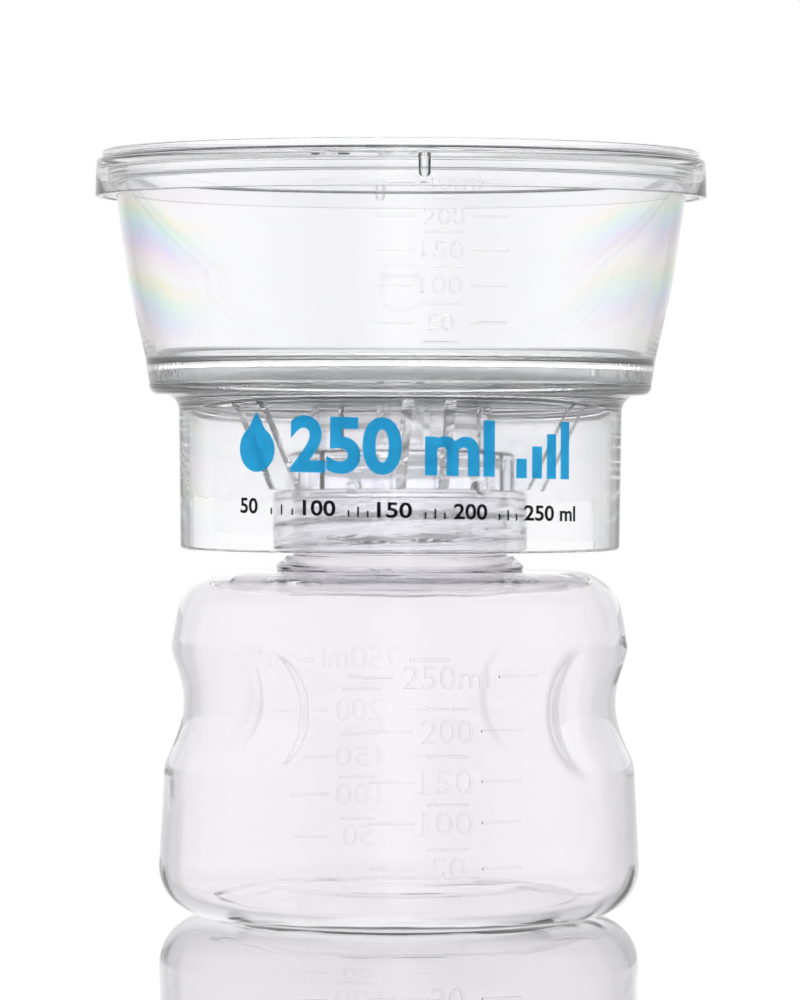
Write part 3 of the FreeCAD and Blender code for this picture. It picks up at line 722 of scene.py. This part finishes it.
carve(lidPiece, vents, "DIFFERENCE")
finishPiece(lidPiece, "lid", lidPlastic)
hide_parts("lid")

# graduations: raised figures and strokes moulded on the bottle and the reservoir
marking = {
    "stroke": 0.5,
    "strokeSlope": 0.15,
    "gap": 0.03,
    "step": 0.8,
}
# each row is (words, height, half width and height of the words, stroke from, to), and each
# copy (name, turn, how far it stands out)
bottleMarks = {
    "rows": (("250ml", 46.9, 8.1, 4.3, 10.0, 18.2), ("200", 37.0, 4.75, 4.3, 6.4, 14.5),
             ("150", 27.8, 4.75, 4.3, 6.4, 14.5), ("100", 20.3, 4.75, 4.3, 6.4, 14.5),
             ("50", 11.9, 3.1, 4.3, 6.4, 14.5)),
    "minors": (41.0, 32.4, 23.6, 15.4),
    "minorHalf": 3.9,
    "copies": (("bottleScaleFront", 3.0, 0.24), ("bottleScaleRear", 182.0, 0.07)),
}
reservoirMarks = {
    "rows": (("250ml", 137.0, 6.8, 3.1, 6.9, 15.1), ("200", 130.9, 3.85, 3.1, 5.3, 12.3),
             ("150", 124.8, 3.85, 3.1, 5.3, 12.3), ("100", 118.4, 3.85, 3.1, 5.3, 12.3),
             ("50", 111.6, 2.5, 3.1, 5.3, 12.3)),
    "minors": (134.0, 128.0, 121.7, 115.1, 108.0),
    "minorHalf": 3.5,
    "copies": (("reservoirScale", 0.0, 0.1),),
}


# Words as a closed flat solid of the given half width and height, centred on the origin. The
# text is scaled afterwards, so its own depth and soft edges are a tenth of the real ones.
def wordSolid(words, halfWidth, height, depth, soft, weight):
    curve = bpy.data.curves.new("words", "FONT")
    curve.body = words
    curve.resolution_u = 5
    curve.offset = weight - soft / 10
    curve.extrude = depth / 20
    curve.bevel_depth = soft / 10
    curve.bevel_resolution = 1
    holder = bpy.data.objects.new("words", curve)
    bpy.context.scene.collection.objects.link(holder)
    graph = bpy.context.evaluated_depsgraph_get()
    mesh = bpy.data.meshes.new_from_object(holder.evaluated_get(graph))
    bpy.data.objects.remove(holder)
    bm = bmesh.new()
    bm.from_mesh(mesh)
    bmesh.ops.remove_doubles(bm, verts=bm.verts, dist=1e-5)
    low = [min(v.co[i] for v in bm.verts) for i in range(3)]
    high = [max(v.co[i] for v in bm.verts) for i in range(3)]
    scales = (halfWidth * 2 / (high[0] - low[0]), height / (high[1] - low[1]),
              depth / (high[2] - low[2]))
    for v in bm.verts:
        v.co = [(v.co[i] - (low[i] + high[i]) / 2) * scales[i] for i in range(3)]
    return bm


def addWords(bm, words, x, y, halfWidth, height, depth, soft, weight=0.0):
    text = wordSolid(words, halfWidth, height, depth, soft, weight)
    bmesh.ops.translate(text, verts=text.verts, vec=(x, y, 0))
    mesh = bpy.data.meshes.new("words")
    text.to_mesh(mesh)
    text.free()
    bm.from_mesh(mesh)


# a stroke with sloping sides, from left to right at one height
def strokeSolid(bm, left, right, height, depth):
    made = bmesh.ops.create_cube(bm, size=1.0)
    thick = marking["stroke"]
    for v in made["verts"]:
        lean = thick * marking["strokeSlope"] if v.co.z > 0 else 0
        v.co = ((left if v.co.x < 0 else right) + (lean if v.co.x < 0 else -lean),
                height + math.copysign(thick / 2 - lean, v.co.y), v.co.z * depth)


# lays flat solids round a wall: x runs to the right round the axis, y is the height
def wrapRound(bm, turn, rise, wallAt, gap, depth, step):
    reach = max(abs(v.co.x) for v in bm.verts)
    for number in range(-int(reach / step), int(reach / step) + 1):
        bmesh.ops.bisect_plane(bm, geom=bm.verts[:] + bm.edges[:] + bm.faces[:],
                               plane_co=(number * step, 0, 0), plane_no=(1, 0, 0), dist=1e-6)
    for v in bm.verts:
        z = v.co.y + v.co.x * rise
        r = wallAt(z) + gap + depth / 2 + v.co.z
        angle = math.radians(turn - 90) + v.co.x / wallAt(z)
        v.co = (r * math.cos(angle) * mm, r * math.sin(angle) * mm, z * mm)
    faceOutwards(bm)


# turns each closed island whose faces point inwards the right way round
def faceOutwards(bm):
    bmesh.ops.recalc_face_normals(bm, faces=bm.faces)
    bm.faces.ensure_lookup_table()
    seen = set()
    for first in bm.faces:
        if first.index in seen:
            continue
        island, waiting = [], [first]
        seen.add(first.index)
        while waiting:
            face = waiting.pop()
            island.append(face)
            for edge in face.edges:
                for other in edge.link_faces:
                    if other.index not in seen:
                        seen.add(other.index)
                        waiting.append(other)
        middle = sum((face.calc_center_median() for face in island), Vector()) / len(island)
        volume = sum((face.calc_center_median() - middle).dot(face.normal) * face.calc_area()
                     for face in island)
        if volume < 0:
            bmesh.ops.reverse_faces(bm, faces=island)


def layMarks(marks, wallAt, body, material):
    for name, turn, depth in marks["copies"]:
        bm = bmesh.new()
        for words, z, half, height, start, end in marks["rows"]:
            addWords(bm, words, 0, z, half, height, depth, depth * 0.5)
            strokeSolid(bm, start, end, z, depth)
            strokeSolid(bm, -end, -start, z, depth)
        for z in marks["minors"]:
            strokeSolid(bm, -marks["minorHalf"], marks["minorHalf"], z, depth)
        wrapRound(bm, turn, 0.0, wallAt, marking["gap"], depth, marking["step"])
        finishPiece(meshFrom(name, bm), body, material)


# straight runs with a soft bend between them
def reservoirWallAt(z):
    (lowR, lowZ), (midR, midZ), (highR, highZ) = reservoir["wallRuns"]
    lower = lowR + (z - lowZ) * (midR - lowR) / (midZ - lowZ)
    upper = midR + (z - midZ) * (highR - midR) / (highZ - midZ)
    return min(lower, upper, (lower + upper) / 2 - reservoir["wallBend"])


layMarks(bottleMarks, bottleWallAt, "bottle", bottlePlastic)
layMarks(reservoirMarks, reservoirWallAt, "head", reservoirPlastic)

# label print: a capacity, a drop and rising bars in blue over a row of plain black numbers
labelPrint = {
    "turn": -3.9,
    "rise": -0.021,
    "film": 0.28,
    "gap": 0.02,
    "inkDepth": 0.02,
    "step": 1.0,
    "blue": "#3AA1C3",
    "black": "#26262B",
    "levels": (83.7, 94.3),
    "capacity": (-24.5, 14.5),
    "capacityWeight": 0.035,
    "dropPlace": (-32.0, 4.1),
    "dropRadius": 4.2,
    "dropSteps": 32,
    "dropTip": 0.4,
    "bars": 4,
    "barFrom": 19.0,
    "barPitch": 3.5,
    "barWidth": 2.3,
    "barShares": (0.34, 0.22),
    "smallLevels": (75.9, 78.8),
    "smallFrom": -36.0,
    "smallPitch": 14.2,
    "smallWeight": 0.02,
    "letterWidth": 2.15,
    "tickShares": (0.32, 0.55, 0.78),
    "tickHeights": (1.2, 1.9, 1.2),
    "tickHalf": 0.16,
}
# Screen printing ink on clear film: part of the light passes straight through it, so its IOR
# is close to that of air, and takes its colour.
ink = {
    "roughness": 0.35,
    "ior": 1.05,
    "transmission": 0.65,
}


def skirtWallAt(z):
    share = (base["skirtTop"] - z) / (base["skirtTop"] - base["foot"])
    return base["skirtRadius"] - base["skirtDraft"] * share + labelPrint["film"]


def flatShape(bm, outline):
    depth = labelPrint["inkDepth"]
    addPlate(bm, [(x, y, -depth / 2) for x, y in outline], (0, 0, depth))


def flatBar(bm, left, right, bottom, top):
    flatShape(bm, [(left, bottom), (right, bottom), (right, top), (left, top)])


def printWords(bm, words, left, right, bottom, top, weight):
    addWords(bm, words, (left + right) / 2, (bottom + top) / 2, (right - left) / 2, top - bottom,
             labelPrint["inkDepth"], 0.0, weight)


def layPrint(name, bm, material):
    wrapRound(bm, labelPrint["turn"], labelPrint["rise"], skirtWallAt, labelPrint["gap"],
              labelPrint["inkDepth"], labelPrint["step"])
    finishPiece(meshFrom(name, bm), "head", material)


def printBlue(bm):
    bottom, top = labelPrint["levels"]
    left, right = labelPrint["capacity"]
    printWords(bm, "250 ml", left, right, bottom, top, labelPrint["capacityWeight"])
    x, rise = labelPrint["dropPlace"]
    drop = []    # the round part turns through 300 degrees, and the tip closes it
    for number in range(labelPrint["dropSteps"] + 1):
        angle = math.radians(-240 + number * 300 / labelPrint["dropSteps"])
        drop.append((x + labelPrint["dropRadius"] * math.cos(angle),
                     bottom + rise + labelPrint["dropRadius"] * math.sin(angle)))
    flatShape(bm, drop + [(x, top + labelPrint["dropTip"])])
    first, step = labelPrint["barShares"]
    for number in range(labelPrint["bars"]):
        left = labelPrint["barFrom"] + number * labelPrint["barPitch"]
        high = bottom + (top - bottom) * (first + step * number)
        flatBar(bm, left, left + labelPrint["barWidth"], bottom, high)


def printBlack(bm):
    bottom, top = labelPrint["smallLevels"]
    half, pitch = labelPrint["tickHalf"], labelPrint["smallPitch"]
    numbers = ("50", "100", "150", "200", "250 ml")
    for number, words in enumerate(numbers):
        left = labelPrint["smallFrom"] + number * pitch
        wide = labelPrint["letterWidth"] * len(words)
        printWords(bm, words, left, left + wide, bottom, top, labelPrint["smallWeight"])
        if words == numbers[-1]:
            break
        for share, tall in zip(labelPrint["tickShares"], labelPrint["tickHeights"]):
            x = left + wide + (pitch - wide) * share
            flatBar(bm, x - half, x + half, bottom, bottom + tall)


for name, draw, inkName, hexColour in (
        ("labelPrintBlue", printBlue, "blueInk", labelPrint["blue"]),
        ("labelPrintBlack", printBlack, "blackInk", labelPrint["black"])):
    bm = bmesh.new()
    draw(bm)
    layPrint(name, bm, solidColour(inkName, hexColour, **ink))

# plain pieces that keep their solids
gasketRubber = solidColour("siliconeRubber", "#E9EAE6", 0.45, ior=1.41, transmission=0.5)
membraneFilm = solidColour("polyethersulfoneMembrane", "#F8F8F6", 0.85)
labelFilm = clearPlastic("polypropyleneFilm", roughness=0.06)
for node, material in (("neck_gasket", gasketRubber), ("membrane", membraneFilm),
                       ("label", labelFilm)):
    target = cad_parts[node]
    target.data.materials.clear()
    target.data.materials.append(material)

# floor, studio light and camera: distances in metres, focal length in mm, angles in degrees
studio = {
    "tableSize": 12,
    "tableMirror": 0.88,
    "tableEdge": (0.25, 0.5),
    "mirrored": 1.16,
    "mirroredAbove": 0.05,
    "overhead": (0.3, 0.9),
    "highest": 0.65,
    "softFill": 12.0,
    "softBelow": 0.2,
    "deepFill": 1.8,
    "deepBounces": (12.0, 20.0),
    "lightTurn": 2.5,
    "cameraTurn": -8.5,
    "cameraDistance": 1.114,
    "cameraHeight": 0.0917,
    "aimHeight": 0.0788,
    "focal": 211.1,
    "roll": 0.17,
}
# (square of the sine of the angle away from the camera's line, brightness)
roomFall = ((0.0, 1.0), (0.012, 1.0), (0.03, 0.88), (0.067, 0.76), (0.2, 0.64), (0.4, 0.7),
            (0.7, 0.85), (1.0, 0.95))


def mixValues(tree, share, first, second):
    node = addNode(tree, "ShaderNodeMix", {"data_type": "FLOAT"}, None, {0: share})
    for place, value in ((2, first), (3, second)):
        if isinstance(value, float):
            node.inputs[place].default_value = value
        else:
            tree.links.new(value, node.inputs[place])
    return node.outputs[0]


# how bright the white room is in the direction of a vector: whitest behind the object, greyer
# to the left and right, and greyer overhead; gives the light and the vector's own height
def roomLight(tree, vector):
    split = addNode(tree, "ShaderNodeSeparateXYZ", None, None, {"Vector": vector})
    turn = addNode(tree, "ShaderNodeMath", {"operation": "ARCTAN2"}, None,
                   {0: split.outputs["Y"], 1: split.outputs["X"]})
    centre = math.radians(90 + studio["cameraTurn"] + studio["lightTurn"])
    fromView = addNode(tree, "ShaderNodeMath", {"operation": "SUBTRACT"}, {1: centre},
                       {0: turn.outputs[0]})
    sine = addNode(tree, "ShaderNodeMath", {"operation": "SINE"}, None, {0: fromView.outputs[0]})
    square = addNode(tree, "ShaderNodeMath", {"operation": "POWER"}, {1: 2.0},
                     {0: sine.outputs[0]})
    ramp = addNode(tree, "ShaderNodeValToRGB", None, None, {"Fac": square.outputs[0]})
    fillRamp(ramp, [(where, (level, level, level, 1)) for where, level in roomFall])
    sideways, upright = studio["overhead"]
    top = addNode(tree, "ShaderNodeMapRange", {"interpolation_type": "SMOOTHSTEP"},
                  {"From Min": sideways, "From Max": upright, "To Min": 1.0,
                   "To Max": studio["highest"]},
                  {"Value": split.outputs["Z"]})
    light = addNode(tree, "ShaderNodeMath", {"operation": "MULTIPLY"}, None,
                    {0: ramp.outputs["Color"], 1: top.outputs[0]})
    return light.outputs[0], split.outputs["Z"]


bm = bmesh.new()
bmesh.ops.create_grid(bm, x_segments=1, y_segments=1, size=studio["tableSize"])
floor = meshFrom("floor", bm)
# glossy white table: a mirror round the object, plain white further off. Only the camera sees
# it; what the plastic refracts and reflects is the room, by direction.
floorMaterial, tree = newMaterial("glossyWhiteTable")
output = addNode(tree, "ShaderNodeOutputMaterial")
place = addNode(tree, "ShaderNodeTexCoord")
away = addNode(tree, "ShaderNodeVectorMath", {"operation": "LENGTH"}, None,
               {0: place.outputs["Object"]})
near, far = studio["tableEdge"]
outer = addNode(tree, "ShaderNodeMapRange", {"interpolation_type": "SMOOTHSTEP"},
                {"From Min": near, "From Max": far}, {"Value": away.outputs["Value"]})
mirror = addNode(tree, "ShaderNodeBsdfGlossy", None,
                 {"Color": (studio["tableMirror"],) * 3 + (1,), "Roughness": 0.0})
white = addNode(tree, "ShaderNodeEmission", None, {"Color": (1, 1, 1, 1), "Strength": 1.0})
both = addNode(tree, "ShaderNodeMixShader", None, None,
               {0: outer.outputs[0], 1: mirror.outputs[0], 2: white.outputs[0]})
tree.links.new(both.outputs[0], output.inputs["Surface"])
floor.data.materials.append(floorMaterial)
floor.visible_transmission = False
floor.visible_diffuse = False
floor.visible_glossy = False

world = bpy.data.worlds.new("studio")
bpy.context.scene.world = world
world.use_nodes = True
tree = world.node_tree
tree.nodes.clear()
output = addNode(tree, "ShaderNodeOutputWorld")
path = addNode(tree, "ShaderNodeLightPath")
place = addNode(tree, "ShaderNodeTexCoord")
# light that has bounced about in the thick parts comes from all round, so it is even
shallow, deepest = studio["deepBounces"]
deep = addNode(tree, "ShaderNodeMapRange", {"interpolation_type": "SMOOTHSTEP"},
               {"From Min": shallow, "From Max": deepest}, {"Value": path.outputs["Ray Depth"]})
bare, height = roomLight(tree, place.outputs["Generated"])
# the table mirrors the white backdrop at full strength, above a small angle
mirrored = addNode(tree, "ShaderNodeMath", {"operation": "GREATER_THAN"},
                   {1: studio["mirroredAbove"]}, {0: height})
glossy = mixValues(tree, mirrored.outputs[0], bare, studio["mirrored"])
direct = mixValues(tree, path.outputs["Is Glossy Ray"], 1.0, glossy)
# light from low down reaches the matt membrane's underside through the thick bed
matt = addNode(tree, "ShaderNodeMath", {"operation": "GREATER_THAN"}, {1: 0.5},
               {0: path.outputs["Diffuse Depth"]})
low = addNode(tree, "ShaderNodeMath", {"operation": "LESS_THAN"}, {1: studio["softBelow"]},
              {0: height})
soft = addNode(tree, "ShaderNodeMath", {"operation": "MULTIPLY"}, None,
               {0: matt.outputs[0], 1: low.outputs[0]})
through = mixValues(tree, deep.outputs[0], bare, studio["deepFill"])
lit = mixValues(tree, soft.outputs[0], through, studio["softFill"])
strength = mixValues(tree, path.outputs["Is Transmission Ray"], direct, lit)
light = addNode(tree, "ShaderNodeBackground", None, {"Color": (1, 1, 1, 1)},
                {"Strength": strength})
tree.links.new(light.outputs[0], output.inputs["Surface"])
print("table and room lit")

camera = bpy.data.cameras.new("camera")
camera.lens = studio["focal"]
camera.clip_start = 0.01
camera.clip_end = 100
cameraObject = bpy.data.objects.new("camera", camera)
bpy.context.scene.collection.objects.link(cameraObject)
turn = math.radians(studio["cameraTurn"])
eye = Vector((math.sin(turn), -math.cos(turn), 0)) * studio["cameraDistance"]
eye.z = studio["cameraHeight"]
aim = Vector((0, 0, studio["aimHeight"])) - eye
facing = aim.to_track_quat("-Z", "Y").to_matrix().to_4x4()
cameraObject.matrix_world = (Matrix.Translation(eye) @ facing
                             @ Matrix.Rotation(math.radians(studio["roll"]), 4, "Z"))
bpy.context.scene.camera = cameraObject
bpy.context.scene.view_settings.view_transform = "Standard"
# enough bounces for the light to get through all the clear walls, one behind the other
cycles = bpy.context.scene.cycles
cycles.max_bounces = 28
cycles.transmission_bounces = 28
cycles.glossy_bounces = 16
cycles.diffuse_bounces = 8
cycles.transparent_max_bounces = 16
cycles.adaptive_threshold = 0.1

print("scene ready")
